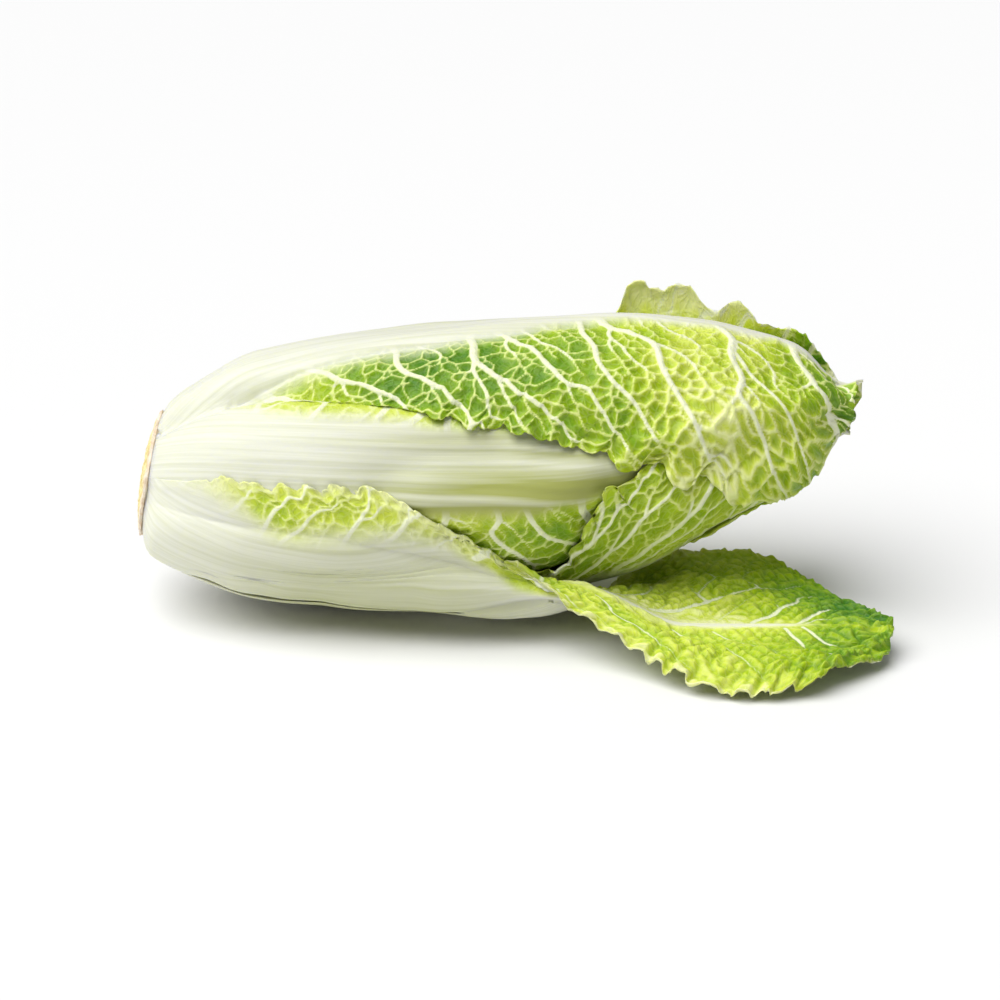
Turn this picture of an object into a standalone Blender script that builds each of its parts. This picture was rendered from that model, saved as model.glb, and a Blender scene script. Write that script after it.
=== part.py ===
"""Chinese cabbage (napa) lying on its side, with one outer leaf peeled open.

The head lies along X: the cut stem is at the low end and the leaf tips at the high end.
Leaves are wrapped round the head from the inside out. Each one lies on what is under it,
so the radius of every layer is worked out on one grid of the head, along it and round it.
Angles round the head are in degrees: 0 faces -Y, 90 faces up, -90 faces the table.
Units are metres.
"""

import math

import bmesh
import bpy
import numpy as np

# The head as a whole
HEAD_LENGTH = 0.300
HEAD_RADIUS = 0.0625
BASE_RADIUS = 0.027
TIP_RADIUS = 0.008
WIDEST_AT = 0.45
BASE_LEAN = 0.18          # the cut stem's face leans: its low side stands further out
LEAN_FADES_BY = 0.16
AXIS_HEIGHT_BASE = 0.0570
AXIS_RISE = 0.0360
AXIS_BOW = 2.4            # how late the axis starts to rise
TIP_NOD = 0.0095          # the leaf tips bend down a little at the end

# The layers
LAYER_GAP = 0.0012        # clear space between a leaf and what it lies on
BLADE_THICKNESS = 0.0011
RIB_HEIGHT = 0.0011       # side ribs, above the blade
MIDRIB_THICKNESS = 0.0075
FOOT_THICKENING = 0.0009
MIDRIB_HALF_WIDTH = 0.038
LEAF_HALF_WIDTH = 0.092
TIP_ROUNDING = 0.20       # how much earlier a leaf's edges end than its middle
LEAF_BASE_ANGLE = 52.0    # half the angle that a leaf's foot takes round the stem
MOST_WRAP_ANGLE = 150.0
SHOULDER_LOW_ANGLE = 46.0  # the bottom leaf's front edge stays this low up to its shoulder
SHOULDER_STEP_BACK = 9.0
RIB_ROWS = 4              # one side rib for each this many rows of a leaf
RIB_SWEEP = 0.62          # how far the side ribs run forward

# The stem and the heart
COLLAR_LENGTH = 0.0042
STEM_WEAR = 0.0010        # how uneven the collar's rim is
CORE_RADIUS = 0.0100
CORE_LENGTH = 0.030
LEAST_HEART_RADIUS = 0.0030
HEART_END = 0.985
HEART_RIDGES = 5
HEART_RIDGE = 0.0012

HEART_TWIST = 160.0       # degrees that its ridges turn from end to end
LEAF_START = (COLLAR_LENGTH + LAYER_GAP) / HEAD_LENGTH

# What lies on the table
REST_FROM = 0.050
REST_TO = 0.165
REST_HALF_WIDTH = 0.013
REST_BLEND = 0.008
FLOOR_CLEARANCE = 0.0004  # leaves that aren't meant to carry the head stop this far above the table

# The open leaf: its midrib and its two edges once it has left the head
OPEN_CENTRE = -40.0
OPEN_NEAR_ANGLE = 55.0    # what it takes of the head while it lies on it, towards +Z
OPEN_WAIST_ANGLE = 12.0   # and what is left of that where the leaf turns away
OPEN_FAR_ANGLE = 22.0     # and towards the table
OPEN_WAIST_FROM = 0.25
OPEN_WAIST_TO = 0.60
OPEN_LEAVES_FROM = 0.40
OPEN_LEAVES_TO = 0.60
OPEN_END = 1.020
OPEN_TIP_ROUNDING = 0.11
OPEN_MIDRIB = dict(y=(-0.053, -0.062, 0.47, 0.80), z=(0.0255, 0.0115, 0.60, 0.74))
OPEN_NEAR_EDGE = dict(y=(-0.054, -0.110, 0.48, 0.82), z=(0.033, 0.0040, 0.46, 0.80))
OPEN_FAR_EDGE = dict(y=(-0.030, 0.021, 0.52, 0.74), z=(0.004, 0.0185, 0.55, 0.76))
OPEN_RUFFLE = 0.0045
OPEN_ROWS = 48
OPEN_COLUMNS = 14

# The grid on which the layers are worked out
GRID_ALONG = 91
GRID_ROUND = 144

GREEN = (0.36, 0.55, 0.08, 1.0)
PALE_GREEN = (0.60, 0.74, 0.25, 1.0)
YELLOW_GREEN = (0.72, 0.78, 0.36, 1.0)
CREAM = (0.75, 0.66, 0.42, 1.0)

# Wrapped leaves from the inside out: where each is centred at its foot, how far it turns by
# its tip, the share of the full width and of the head's length that it reaches, its ruffle
# and how far its front and back edges flare off the head.
WRAPPED_LEAVES = [
    dict(name="inner_leaf_back", centre=170, turn=0, width=0.80, end=0.955, ruffle=0.0, rows=22, columns=12),
    dict(name="inner_leaf_under", centre=-60, turn=20, width=0.80, end=0.940, ruffle=0.0, rows=22, columns=12),
    dict(name="inner_leaf_over", centre=62, turn=-10, width=0.80, end=0.945, ruffle=0.0, rows=22, columns=12),
    dict(name="leaf_front", centre=27, turn=-26, width=0.90, end=0.970, ruffle=0.0012, rows=36, columns=10),
    dict(name="leaf_bottom", centre=-93, turn=18, width=1.00, end=0.975, ruffle=0.0022, rows=36, columns=14,
         shoulder=0.60),
    dict(name="leaf_top", centre=105, turn=0, width=1.00, end=0.978, ruffle=0.0026, rows=36, columns=16),
    dict(name="leaf_back", centre=190, turn=0, width=0.90, end=0.980, ruffle=0.0026, rows=36, columns=14,
         lobe=0.008, front_edge=65),
]


def smooth_step(x, low, high):
    """0 below low, 1 above high and an easy curve between them."""
    t = np.clip((np.asarray(x, float) - low) / (high - low), 0.0, 1.0)
    return t * t * (3 - 2 * t)


# The head's form

def head_radius(s):
    """The outer radius at the share s of the head's length."""
    s = np.asarray(s, float)
    to_base = np.clip((WIDEST_AT - s) / WIDEST_AT, 0.0, 1.0)
    to_tip = np.clip((s - WIDEST_AT) / (1.0 - WIDEST_AT), 0.0, 1.0)
    base = BASE_RADIUS + (HEAD_RADIUS - BASE_RADIUS) * (1 - to_base**2.6) ** 0.60
    tip = TIP_RADIUS + (HEAD_RADIUS - TIP_RADIUS) * (1 - to_tip**2.1) ** 0.78
    return np.where(s < WIDEST_AT, base, tip)


def axis_height(s):
    """The height of the head's axis above the table."""
    s = np.asarray(s, float)
    return AXIS_HEIGHT_BASE + AXIS_RISE * s**AXIS_BOW - TIP_NOD * smooth_step(s, 0.78, 1.0)


def head_point(s, degrees, radius):
    """The point of the head at a share of its length, an angle and a radius."""
    angle = np.radians(degrees)
    up = radius * np.sin(angle)
    lean = BASE_LEAN * (1 - smooth_step(s, 0.0, LEAN_FADES_BY))
    x = s * HEAD_LENGTH + lean * up
    return np.stack([x, -radius * np.cos(angle), axis_height(s) + up], axis=-1)


# A leaf's form, along it (s) and across it (b, from -1 to 1)

def half_width(s, leaf):
    """Half the width of a leaf, measured round the head."""
    opening = np.sin(0.75 * math.pi * np.clip(s, 0.0, 1.0) ** 1.3)
    return leaf["width"] * (0.034 + (LEAF_HALF_WIDTH - 0.034) * opening)


def half_angle(s, leaf, side=1.0):
    """The half angle that a leaf takes round the head; side is +1 or -1."""
    angle = np.degrees(half_width(s, leaf) / head_radius(s))
    foot = smooth_step(s, 0.02, 0.22)
    angle = LEAF_BASE_ANGLE * (1 - foot) + angle * foot
    if "shoulder" in leaf:  # the front edge keeps low, then widens at once into the blade
        narrow = np.minimum(angle, SHOULDER_LOW_ANGLE)
        wide = smooth_step(s, leaf["shoulder"] - 0.035, leaf["shoulder"] + 0.035)
        front = narrow * (1 - wide) + (angle - SHOULDER_STEP_BACK) * wide
        angle = np.where(np.asarray(side) > 0, front, angle)
    if "front_edge" in leaf:  # this edge stays behind the leaf that overlaps it
        angle = np.where(np.asarray(side) < 0, np.minimum(angle, leaf["front_edge"]), angle)
    return np.minimum(angle, MOST_WRAP_ANGLE)


def centre_angle(s, leaf):
    return leaf["centre"] + leaf["turn"] * np.asarray(s, float)


def end_of(b, leaf):
    """Where the leaf ends along the head, at the share b across: its rounded tip."""
    return leaf["end"] * (1 - leaf.get("tip", TIP_ROUNDING) * np.abs(b) ** 2.6)


def midrib_half_width(s):
    return MIDRIB_HALF_WIDTH * (1 - np.clip(s, 0, 1) ** 1.5) + 0.0015


def thickness(s, offset):
    """The leaf's thickness at the distance offset from its midrib's middle."""
    s = np.asarray(s, float)
    rib = np.clip(1 - (np.abs(offset) / midrib_half_width(s)) ** 2.4, 0, 1)
    swell = smooth_step(s, -0.01, 0.16) * (1 - 0.93 * smooth_step(s, 0.25, 1.0))
    foot = FOOT_THICKENING * (1 - smooth_step(s, 0.02, 0.10))
    return BLADE_THICKNESS + foot + MIDRIB_THICKNESS * swell * rib**0.7


def side_ribs(row):
    """1 on the side ribs and 0 between them: they follow the rows, which sweep forward."""
    return 0.5 + 0.5 * math.cos(2 * math.pi * row / RIB_ROWS)


def swept(a, b):
    """The share along the leaf of the row at a, b: rows run forward towards the edges."""
    a = a**1.15
    return a + RIB_SWEEP * a * (1 - a) * np.abs(b) ** 0.8


# The layers

ALONG = np.linspace(0.0, 1.0, GRID_ALONG)
ROUND = np.arange(GRID_ROUND) * 360.0 / GRID_ROUND


def widened(field, cells):
    """The highest value within some cells round the head, and one cell towards its tip."""
    for _ in range(cells):
        field = np.maximum.reduce([field, np.roll(field, 1, 1), np.roll(field, -1, 1)])
    edge = np.pad(field, ((1, 0), (0, 0)), mode="edge")
    return np.maximum(edge[:-1], field)


def smoothed(field, times):
    for _ in range(times):
        field = (np.roll(field, 1, 1) + 2 * field + np.roll(field, -1, 1)) / 4
        edge = np.pad(field, ((1, 1), (0, 0)), mode="edge")
        field = (edge[:-2] + 2 * edge[1:-1] + edge[2:]) / 4
    return field


def turned(degrees):
    """The angle brought to between -180 and 180 degrees."""
    return (np.asarray(degrees, float) + 180.0) % 360.0 - 180.0


def core_radius(s):
    """The radius of the stem's core, which tapers into the head."""
    return CORE_RADIUS * (1 - smooth_step(s, 0.02, 0.20))


def laid_over(top):
    """The radius of a leaf's inner face when it lies on what has the radius top."""
    return smoothed(widened(top, 3), 3) + LAYER_GAP


def lay_leaves(heart):
    """Lays each wrapped leaf on what is under it and gives its inner radius on the grid."""
    s, degrees = np.meshgrid(ALONG, ROUND, indexing="ij")
    top = heart.copy()
    inner = {}
    for leaf in WRAPPED_LEAVES:
        off = turned(degrees - centre_angle(s, leaf))
        share = off / half_angle(s, leaf, off)
        under = laid_over(top)
        thick = thickness(s, np.radians(off) * head_radius(s)) + RIB_HEIGHT + leaf["ruffle"]
        covered = (np.abs(share) <= 1.05) & (s <= end_of(np.clip(share, -1, 1), leaf) + 0.02)
        inner[leaf["name"]] = under
        top = np.where(covered, under + thick, top)
    return inner, top


def open_leaf_cover(s, degrees):
    """How thick the open leaf is where it still lies on the head, and 0 elsewhere."""
    off = turned(degrees - OPEN_CENTRE)
    reach = np.where(off > 0, OPEN_NEAR_ANGLE, OPEN_FAR_ANGLE)
    lies = (1 - smooth_step(np.abs(off) / reach, 0.8, 1.25)) * (1 - smooth_step(s, 0.35, 0.55))
    return lies * (LAYER_GAP + thickness(s, np.radians(off) * head_radius(s)))


def fit_heart():
    """The heart's radius, so that the outermost leaves come out at the head's own radius."""
    s, degrees = np.meshgrid(ALONG, ROUND, indexing="ij")
    want = head_radius(s) - open_leaf_cover(s, degrees)
    heart = want * 0.6
    for _ in range(6):
        _, top = lay_leaves(heart)
        miss = smoothed(want - top, 8)
        heart = smoothed(np.maximum(heart + miss, np.maximum(core_radius(s), LEAST_HEART_RADIUS)), 5)
    return heart


def sample(field, s, degrees):
    """The grid's value at any point, straight between its nodes."""
    row = np.clip(np.asarray(s, float), 0, 1) * (GRID_ALONG - 1)
    column = (np.asarray(degrees, float) % 360.0) / 360.0 * GRID_ROUND
    i = np.minimum(row.astype(int), GRID_ALONG - 2)
    j = column.astype(int) % GRID_ROUND
    fi, fj = row - i, column - np.floor(column)
    k = (j + 1) % GRID_ROUND
    near = field[i, j] * (1 - fj) + field[i, k] * fj
    far = field[i + 1, j] * (1 - fj) + field[i + 1, k] * fj
    return near * (1 - fi) + far * fi


# Building

def clear_scene():
    for obj in list(bpy.data.objects):
        bpy.data.objects.remove(obj, do_unlink=True)


def material(name, colour, roughness):
    made = bpy.data.materials.new(name)
    made.use_nodes = True
    shader = made.node_tree.nodes["Principled BSDF"]
    shader.inputs["Base Color"].default_value = colour
    shader.inputs["Roughness"].default_value = roughness
    shader.inputs["Metallic"].default_value = 0.0
    return made


def add_object(name, bm, finish):
    bmesh.ops.recalc_face_normals(bm, faces=bm.faces)
    if bm.calc_volume(signed=True) < 0:
        bmesh.ops.reverse_faces(bm, faces=bm.faces)
    mesh = bpy.data.meshes.new(name)
    bm.to_mesh(mesh)
    bm.free()
    mesh.shade_smooth()
    mesh.materials.append(finish)
    obj = bpy.data.objects.new(name, mesh)
    bpy.context.scene.collection.objects.link(obj)
    return obj


def leaf_solid(name, rows, columns, faces_of, finish):
    """A closed leaf: faces_of(a, b) gives its outer and its inner point for a row and a share across."""
    bm = bmesh.new()
    bmesh.ops.create_grid(bm, x_segments=rows, y_segments=columns, size=1.0)
    row_of = bm.verts.layers.float.new("row")
    across_of = bm.verts.layers.float.new("across")
    for vert in bm.verts:
        vert[row_of] = (vert.co.x + 1) / 2 * rows
        vert[across_of] = vert.co.y
    bmesh.ops.triangulate(bm, faces=bm.faces)
    copy = bmesh.ops.extrude_face_region(bm, geom=list(bm.faces), use_keep_orig=True)
    inner = {v for v in copy["geom"] if isinstance(v, bmesh.types.BMVert)}
    for vert in bm.verts:
        outside, inside = faces_of(vert[row_of], vert[across_of])
        vert.co = inside if vert in inner else outside
    return add_object(name, bm, finish)


def wrapped_leaf(leaf, inner, finish):
    """One leaf that lies round the head."""
    name, rows = leaf["name"], leaf["rows"]
    seed = 7.3 * WRAPPED_LEAVES.index(leaf)

    def faces_of(row, b):
        a = row / rows
        end = end_of(b, leaf)
        s = LEAF_START + (end - LEAF_START) * float(swept(a, b))
        degrees = float(centre_angle(s, leaf) + b * half_angle(s, leaf, b))
        radius = float(head_radius(s))
        offset = b * math.radians(float(half_angle(s, leaf, b))) * radius
        blade = float(smooth_step(abs(offset), 0.7 * midrib_half_width(s), 1.1 * midrib_half_width(s)))
        thin = float(thickness(s, offset)) + RIB_HEIGHT * side_ribs(row) * blade
        edge = max(abs(b), float(smooth_step(a, 0.90, 1.0)))
        wave = 0.5 + 0.5 * math.cos(2 * math.pi * (row / RIB_ROWS + 0.5) + seed)
        grow = float(smooth_step(s, 0.10, 0.35))
        lift = leaf["ruffle"] * wave * float(smooth_step(edge, 0.62, 1.0)) * grow
        if "lobe" in leaf and b < 0:  # a lobe of the edge that stands off the head
            lift += leaf["lobe"] * float(smooth_step(-b, 0.72, 1.0)) * float(
                smooth_step(s, 0.66, 0.72) * (1 - smooth_step(s, 0.76, 0.82)))
        low = float(sample(inner[name], s, degrees)) + lift
        outside = head_point(s, degrees, low + thin)
        inside = head_point(s, degrees, low)
        if name == "leaf_bottom":
            outside = rest_on_table(outside)
        elif name == "leaf_back":
            outside[2] = max(outside[2], FLOOR_CLEARANCE)
        return outside, inside

    return leaf_solid(name, rows, leaf["columns"], faces_of, finish)


def along(curve, s):
    """A coordinate that eases from one value to another along the head."""
    before, after, low, high = curve
    return before + (after - before) * smooth_step(s, low, high)


def underside(s, y, cover):
    """The height of the head's underside over a point of the table."""
    radius = float(head_radius(s))
    for _ in range(3):
        degrees = -math.degrees(math.acos(max(-1.0, min(1.0, -y / radius))))
        radius = float(sample(cover, s, degrees))
    return float(axis_height(s)) - math.sqrt(max(radius**2 - y**2, 0.0))


def open_leaf_sheet(s, b, cover):
    """The open leaf's inner face: on the head near its foot, spread towards the table at its tip."""
    waist = float(smooth_step(s, OPEN_WAIST_FROM, OPEN_WAIST_TO))
    near = OPEN_NEAR_ANGLE + (OPEN_WAIST_ANGLE - OPEN_NEAR_ANGLE) * waist
    degrees = OPEN_CENTRE + b * (near if b > 0 else OPEN_FAR_ANGLE)
    on_head = head_point(min(s, 1.0), degrees, float(sample(cover, s, degrees)))
    rib = np.array([float(along(OPEN_MIDRIB[k], s)) for k in "yz"])
    edge_curve = OPEN_NEAR_EDGE if b > 0 else OPEN_FAR_EDGE
    edge = np.array([float(along(edge_curve[k], s)) for k in "yz"])
    share = abs(b) * (1 - 0.35 * float(smooth_step(s, 0.86, OPEN_END)))
    spread = rib + (edge - rib) * share
    spread[1] += 0.004 * share * (1 - share) * (2.0 if b > 0 else -1.5)
    if b < 0 and s < 1.0:
        spread[1] = min(spread[1], underside(s, spread[0], cover) - 0.0025)
    free = float(smooth_step(s, OPEN_LEAVES_FROM, OPEN_LEAVES_TO))
    point = np.array([s * HEAD_LENGTH, spread[0], spread[1]])
    point = on_head * (1 - free) + point * free
    point[2] = max(point[2], 0.0022)
    return point, free


def open_leaf(cover, finish):
    """The outermost leaf, which has come off the head and lies open on the table."""
    leaf = dict(end=OPEN_END, tip=OPEN_TIP_ROUNDING)

    def sheet(a, b):
        end = end_of(b, leaf)
        s = LEAF_START + (end - LEAF_START) * float(swept(a, b))
        return (s, *open_leaf_sheet(s, b, cover))

    def faces_of(row, b):
        a = row / OPEN_ROWS
        s, point, free = sheet(a, b)
        step = 0.004
        a0, a1 = max(a - step, 0.0), min(a + step, 1.0)
        b0, b1 = max(b - step, -1.0), min(b + step, 1.0)
        forward = sheet(a1, b)[1] - sheet(a0, b)[1]
        across = sheet(a, b1)[1] - sheet(a, b0)[1]
        out = np.cross(forward, across)
        out /= np.linalg.norm(out)
        offset = b * math.radians(OPEN_NEAR_ANGLE) * HEAD_RADIUS
        blade = float(smooth_step(abs(offset), 0.7 * midrib_half_width(s), 1.1 * midrib_half_width(s)))
        thin = float(thickness(s, offset)) + RIB_HEIGHT * side_ribs(row) * blade
        wave = math.cos(2 * math.pi * row / RIB_ROWS + 1.0)
        edge = max(abs(b), float(smooth_step(a, 0.93, 1.0)))
        ruffle = OPEN_RUFFLE * float(smooth_step(edge, 0.6, 1.0)) * float(smooth_step(s, 0.08, 0.4))
        lift = ruffle * (wave * free + (0.5 + 0.5 * wave) * (1 - free))
        inside = point + out * lift
        outside = point + out * (lift + thin)
        outside[2] = max(outside[2], 0.0)
        inside[2] = max(inside[2], outside[2] + 0.0009 if free > 0.5 else 0.0)
        return outside, inside

    return leaf_solid("leaf_open", OPEN_ROWS, OPEN_COLUMNS, faces_of, finish)


def heart_solid(heart, finish):
    """The packed young leaves in the middle, with their rolled edges as long ridges."""
    bm = bmesh.new()
    bmesh.ops.create_uvsphere(bm, u_segments=24, v_segments=22, radius=1.0)
    low, high = (CORE_LENGTH + LAYER_GAP) / HEAD_LENGTH, HEART_END
    for vert in bm.verts:
        height = max(-1.0, min(1.0, vert.co.z))
        degrees = math.degrees(math.atan2(vert.co.y, vert.co.x))
        s = low + (high - low) * (height + 1) / 2
        blunt = max(1 - height * height, 0.0) ** 0.22
        ridge = 0.5 + 0.5 * math.cos(math.radians(HEART_RIDGES * degrees + HEART_TWIST * s))
        radius = (float(sample(heart, s, degrees)) - HEART_RIDGE * ridge * blunt) * blunt
        vert.co = head_point(s, degrees, max(radius, 0.0))
    return add_object("heart", bm, finish)


def stem_solid(finish):
    """The cut stem: a worn collar where the outer leaves sat, and the core that carries the rest."""
    collar = [(0.0, 0.0), (0.0, 0.92), (0.14, 0.98), (0.45, 1.0), (0.85, 0.98), (1.0, 0.90)]
    profile = [(x * COLLAR_LENGTH, r * BASE_RADIUS) for x, r in collar]
    for share in (0.0, 0.25, 0.5, 0.75, 1.0):
        x = COLLAR_LENGTH + share * (CORE_LENGTH - COLLAR_LENGTH)
        profile.append((x, float(core_radius(x / HEAD_LENGTH)) - LAYER_GAP / 2))
    profile.append((CORE_LENGTH, 0.0))
    bm = bmesh.new()
    line = [bm.verts.new((x, 0.0, r)) for x, r in profile]
    edges = [bm.edges.new(pair) for pair in zip(line, line[1:])]
    bmesh.ops.spin(bm, geom=line + edges, cent=(0, 0, 0), axis=(1, 0, 0), angle=2 * math.pi,
                   steps=30, use_merge=True)
    bmesh.ops.remove_doubles(bm, verts=bm.verts, dist=1e-5)
    for vert in bm.verts:
        x, y, z = vert.co
        radius, angle = math.hypot(y, z), math.atan2(z, -y)
        if radius > CORE_RADIUS:
            radius += STEM_WEAR * math.sin(3 * angle + 0.5) * math.cos(5 * angle)
        vert.co = head_point(x / HEAD_LENGTH, math.degrees(angle), radius)
    return add_object("stem", bm, finish)


def rest_on_table(point):
    """Flattens the foot of the bottom leaf where the head's weight presses it on the table."""
    x, y, z = point
    inside_length = smooth_step(x, REST_FROM - 0.012, REST_FROM) * (1 - smooth_step(x, REST_TO, REST_TO + 0.012))
    inside_width = 1 - smooth_step(abs(y), REST_HALF_WIDTH, REST_HALF_WIDTH + REST_BLEND)
    pressed = inside_length * inside_width
    if z < 0.012:
        z = z * (1 - pressed)
    return np.array([x, y, max(z, 0.0)])


def move_to_origin():
    """Puts the middle of the whole, seen from above, over the origin and its lowest face on the table."""
    points = np.array([v.co for obj in bpy.data.objects for v in obj.data.vertices])
    low, high = points.min(axis=0), points.max(axis=0)
    middle = np.array([(low[0] + high[0]) / 2, (low[1] + high[1]) / 2, low[2]])
    for obj in bpy.data.objects:
        for vert in obj.data.vertices:
            vert.co = np.array(vert.co) - middle
    print("Origin moved by", middle)


def main():
    clear_scene()
    heart = fit_heart()
    inner, top = lay_leaves(heart)
    pale = material("napa_blade_pale", PALE_GREEN, 0.5)
    green = material("napa_blade_green", GREEN, 0.5)
    for leaf in WRAPPED_LEAVES:
        wrapped_leaf(leaf, inner, pale if leaf["name"].startswith("inner") else green)
    open_leaf(laid_over(top), material("napa_blade_open", YELLOW_GREEN, 0.5))
    heart_solid(heart, material("napa_heart", YELLOW_GREEN, 0.5))
    stem_solid(material("napa_stem", CREAM, 0.7))
    move_to_origin()


main()
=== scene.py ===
import heapq
import math
import time

import bmesh
import bpy
import numpy as np
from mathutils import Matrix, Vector


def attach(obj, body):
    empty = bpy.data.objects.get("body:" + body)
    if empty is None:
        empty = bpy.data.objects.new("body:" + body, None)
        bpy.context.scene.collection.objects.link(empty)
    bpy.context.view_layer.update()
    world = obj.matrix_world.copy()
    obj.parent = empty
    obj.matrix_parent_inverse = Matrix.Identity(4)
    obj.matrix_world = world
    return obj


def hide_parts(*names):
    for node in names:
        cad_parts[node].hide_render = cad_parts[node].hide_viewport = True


# Chinese cabbage (napa) lying on its side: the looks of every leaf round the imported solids.
# Each leaf is laid out flat first, in millimetres: p along its midrib from the stem and q across it.
# Its veins are grown there, and then the leaf is wrapped round the head or opened on the table.

startTime = time.time()
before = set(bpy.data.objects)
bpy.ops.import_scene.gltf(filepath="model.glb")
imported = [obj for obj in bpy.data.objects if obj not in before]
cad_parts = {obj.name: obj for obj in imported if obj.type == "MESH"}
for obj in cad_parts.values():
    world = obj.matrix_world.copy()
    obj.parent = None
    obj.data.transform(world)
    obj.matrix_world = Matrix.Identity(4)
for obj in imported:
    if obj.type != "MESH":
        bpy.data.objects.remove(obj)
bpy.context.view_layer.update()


def stageDone(words):
    print("STAGE", words, round(time.time() - startTime, 1), "s")


# Sizes that the solids have too, in metres
headLength = 0.300
headRadiusMost = 0.0625
baseRadius = 0.027
tipRadius = 0.008
widestAt = 0.45
baseLean = 0.18
leanFadesBy = 0.16
axisHeightBase = 0.0570
axisRise = 0.0360
axisBow = 2.4
tipNod = 0.0095
layerGap = 0.0012
bladeThickness = 0.0011
ribHeight = 0.0011
midribThickness = 0.0075
footThickening = 0.0009
midribHalfWidthAtFoot = 0.038
leafHalfWidth = 0.092
leafBaseAngle = 52.0
mostWrapAngle = 150.0
shoulderLowAngle = 46.0
shoulderStepBack = 9.0
collarLength = 0.0042
coreRadiusAtFoot = 0.0100
coreLength = 0.030
leastHeartRadius = 0.0030
tipRounding = 0.20     # how far a leaf's corners fall short of its end, as a share of its length
frameMove = np.array([0.1507644, -0.0244315, 0.0])
lengthMm = 1000 * headLength

# Wrapped leaves from the inside out. centre to ruffle, shoulder and frontEdge are their place, as in
# the solids. white is the midrib's share of the common width. green is the colour along the leaf, from 0
# pale to 1 dark. frill is how far the front (low angle) and back edge wave in mm, which grows between
# frillFrom and frillFull of the length, and wave is the length of a wave in mm. relief and lobes are
# shares of the common relief and outline. ridges is how deep the stalk is grooved in mm, and dense moves
# columns to the side that is seen. wider is how much further down the front edge reaches in mm. tipEnd
# and fullTip make the tip fuller in front than the solid's.
greenAlong = (0.0, 0.2, 0.4, 0.6, 0.8, 0.97)
innerLook = dict(width=0.80, ruffle=0.0, grid=(120, 48), white=0.8, green=(0.1, 0.2, 0.4, 0.4, 0.55, 0.9),
                 frill=(1.0, 1.0), frillFrom=0.4, wave=19, relief=0.5, ridges=0.3, lobes=0.7, dense=0.0)
wrappedLeaves = [
    dict(innerLook, name="innerLeafBack", node="inner_leaf_back", centre=170, turn=0, end=0.955, seed=11),
    dict(innerLook, name="innerLeafUnder", node="inner_leaf_under", centre=-60, turn=20, end=0.940, seed=12),
    dict(innerLook, name="innerLeafOver", node="inner_leaf_over", centre=62, turn=-10, end=0.945, seed=13),
    dict(name="leafFront", node="leaf_front", centre=27, turn=-26, width=0.90, end=0.970, ruffle=0.0012,
         grid=(260, 130), seed=21, white=0.62, green=(0.1, 0.3, 0.50, 0.66, 0.70, 0.9), frill=(1.0, 1.0),
         frillFrom=0.3, wave=19, relief=0.9, ridges=1.5, lobes=1.0, dense=0.0),
    dict(name="leafBottom", node="leaf_bottom", centre=-93, turn=18, width=1.00, end=0.975, ruffle=0.0022,
         shoulder=0.60, grid=(270, 160), seed=31, white=0.9, green=(0.1, 0.3, 0.5, 0.52, 0.48, 0.9),
         frill=(1.2, 5.0), frillFrom=0.1, wave=20, relief=1.1, ridges=0.3, lobes=1.3, dense=0.15),
    dict(name="leafTop", node="leaf_top", centre=105, turn=0, width=1.00, end=0.978, ruffle=0.0026,
         grid=(300, 160), seed=41, white=1.0, green=(0.15, 0.60, 0.86, 0.66, 0.30, 0.85), frill=(5.0, 1.2),
         frillFrom=0.26, frillFull=0.54, wave=26, relief=1.15, ridges=0.3, lobes=1.4, dense=-0.15,
         wider=9.0, tipEnd=0.990, fullTip=0.05),
    dict(name="leafBack", node="leaf_back", centre=190, turn=0, width=0.90, end=0.980, ruffle=0.0026,
         frontEdge=65, grid=(250, 110), seed=51, white=0.95, green=(0.1, 0.4, 0.50, 0.45, 0.45, 0.95),
         frill=(3.0, 2.0), frillFrom=0.54, wave=17, relief=1.0, ridges=0.3, lobes=0.7, dense=-0.1,
         tipEnd=0.975, fullTip=0.06),
]
# Where along the top leaf its front edge reaches further down, and by which share of its wider
widerAt = np.array((0.58, 0.66, 0.76, 0.86, 0.97))
widerBy = np.array((0.0, 0.6, 0.9, 1.0, 0.4))
# How far the top leaf stands off the head near the tip in mm, which makes it blunt
puffAt = (0.88, 0.91, 0.935, 0.96, 0.99)
puffBy = (0.0, 1.0, 3.0, 5.5, 6.5)
# How far the back leaf's front edge stands up, in mm, along its length: the lobe and the frills after it
standsAt = (0.652, 0.662, 0.672, 0.686, 0.720, 0.755, 0.775, 0.795, 0.812, 0.828, 0.842, 0.852, 0.868, 0.890,
            0.920, 0.950, 0.985)
standsUp = (0.0, 8.0, 12.0, 13.5, 14.0, 13.5, 11.0, 5.5, 8.0, 8.0, 6.5, 4.0, 5.0, 3.0, 2.0, 1.0, 0.0)


def smoothStep(x, low, high):
    t = np.clip((np.asarray(x, float) - low) / (high - low), 0.0, 1.0)
    return t * t * (3 - 2 * t)


def hashed(ix, iy, seed):
    n = (ix * 374761393 + iy * 668265263 + seed * 974634777) & 0xFFFFFFFF
    n = ((n ^ (n >> 13)) * 1274126177) & 0xFFFFFFFF
    return ((n ^ (n >> 16)) & 0xFFFF) / 32767.5 - 1.0


# Smooth noise between -1 and 1, one wave for each unit
def noise(x, y, seed):
    x, y = np.broadcast_arrays(np.asarray(x, float), np.asarray(y, float))
    ix = np.floor(x).astype(np.int64)
    iy = np.floor(y).astype(np.int64)
    fx = smoothStep(x - ix, 0, 1)
    fy = smoothStep(y - iy, 0, 1)
    low = hashed(ix, iy, seed) * (1 - fx) + hashed(ix + 1, iy, seed) * fx
    high = hashed(ix, iy + 1, seed) * (1 - fx) + hashed(ix + 1, iy + 1, seed) * fx
    return low * (1 - fy) + high * fy


# The head's form, as the solids have it

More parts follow.
